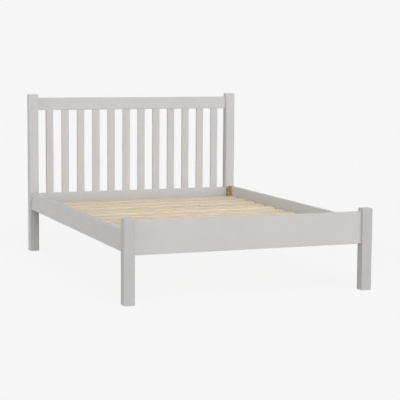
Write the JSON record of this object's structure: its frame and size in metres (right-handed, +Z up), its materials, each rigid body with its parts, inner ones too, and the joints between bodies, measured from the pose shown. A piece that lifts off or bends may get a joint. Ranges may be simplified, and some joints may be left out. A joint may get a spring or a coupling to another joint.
{
  "type": "bed frame",
  "caption": "Painted wooden double bed frame with a slatted headboard, low foot end, hook-on side rails and a base of pine cross slats.",
  "frame": {"origin": "on the floor in the middle of the footprint", "axes": "+X to the right seen from the foot end, +Y towards the headboard, +Z up"},
  "size_m": [1.45, 2.05, 1.03],
  "materials": {
    "grey_paint": "satin light grey paint over solid wood",
    "bare_pine": "bare planed pine",
    "yellow_zinc": "pressed steel, yellow zinc plated",
    "dark_steel": "dark phosphated steel",
    "screw_zinc": "yellow zinc plated screws"
  },
  "bodies": {
    "root": {"bed_slat_01": "bare_pine", "bed_slat_02": "bare_pine", "bed_slat_03": "bare_pine", "bed_slat_04": "bare_pine", "bed_slat_05": "bare_pine", "bed_slat_06": "bare_pine", "bed_slat_07": "bare_pine", "bed_slat_08": "bare_pine", "bed_slat_09": "bare_pine", "bed_slat_10": "bare_pine", "bed_slat_11": "bare_pine", "bed_slat_12": "bare_pine", "bed_slat_screws": "screw_zinc", "centre_hanger_foot": "yellow_zinc", "centre_hanger_head": "yellow_zinc", "centre_hanger_screws": "dark_steel", "centre_rail": "bare_pine", "foot_post_left": "grey_paint", "foot_post_right": "grey_paint", "foot_rail": "grey_paint", "head_post_left": "grey_paint", "head_post_right": "grey_paint", "headboard_lower_rail": "grey_paint", "headboard_slat_01": "grey_paint", "headboard_slat_02": "grey_paint", "headboard_slat_03": "grey_paint", "headboard_slat_04": "grey_paint", "headboard_slat_05": "grey_paint", "headboard_slat_06": "grey_paint", "headboard_slat_07": "grey_paint", "headboard_slat_08": "grey_paint", "headboard_slat_09": "grey_paint", "headboard_slat_10": "grey_paint", "headboard_slat_11": "grey_paint", "headboard_slat_12": "grey_paint", "headboard_top_rail": "grey_paint", "ledger_screws": "screw_zinc", "post_plate_foot_left": "dark_steel", "post_plate_foot_right": "dark_steel", "post_plate_head_left": "dark_steel", "post_plate_head_right": "dark_steel", "post_plate_screws": "dark_steel", "rail_hook_foot_left": "yellow_zinc", "rail_hook_foot_right": "yellow_zinc", "rail_hook_head_left": "yellow_zinc", "rail_hook_head_right": "yellow_zinc", "rail_hook_screws": "dark_steel", "side_rail_left": "grey_paint", "side_rail_right": "grey_paint", "slat_ledger_left": "bare_pine", "slat_ledger_right": "bare_pine"}
  },
  "joints": []
}
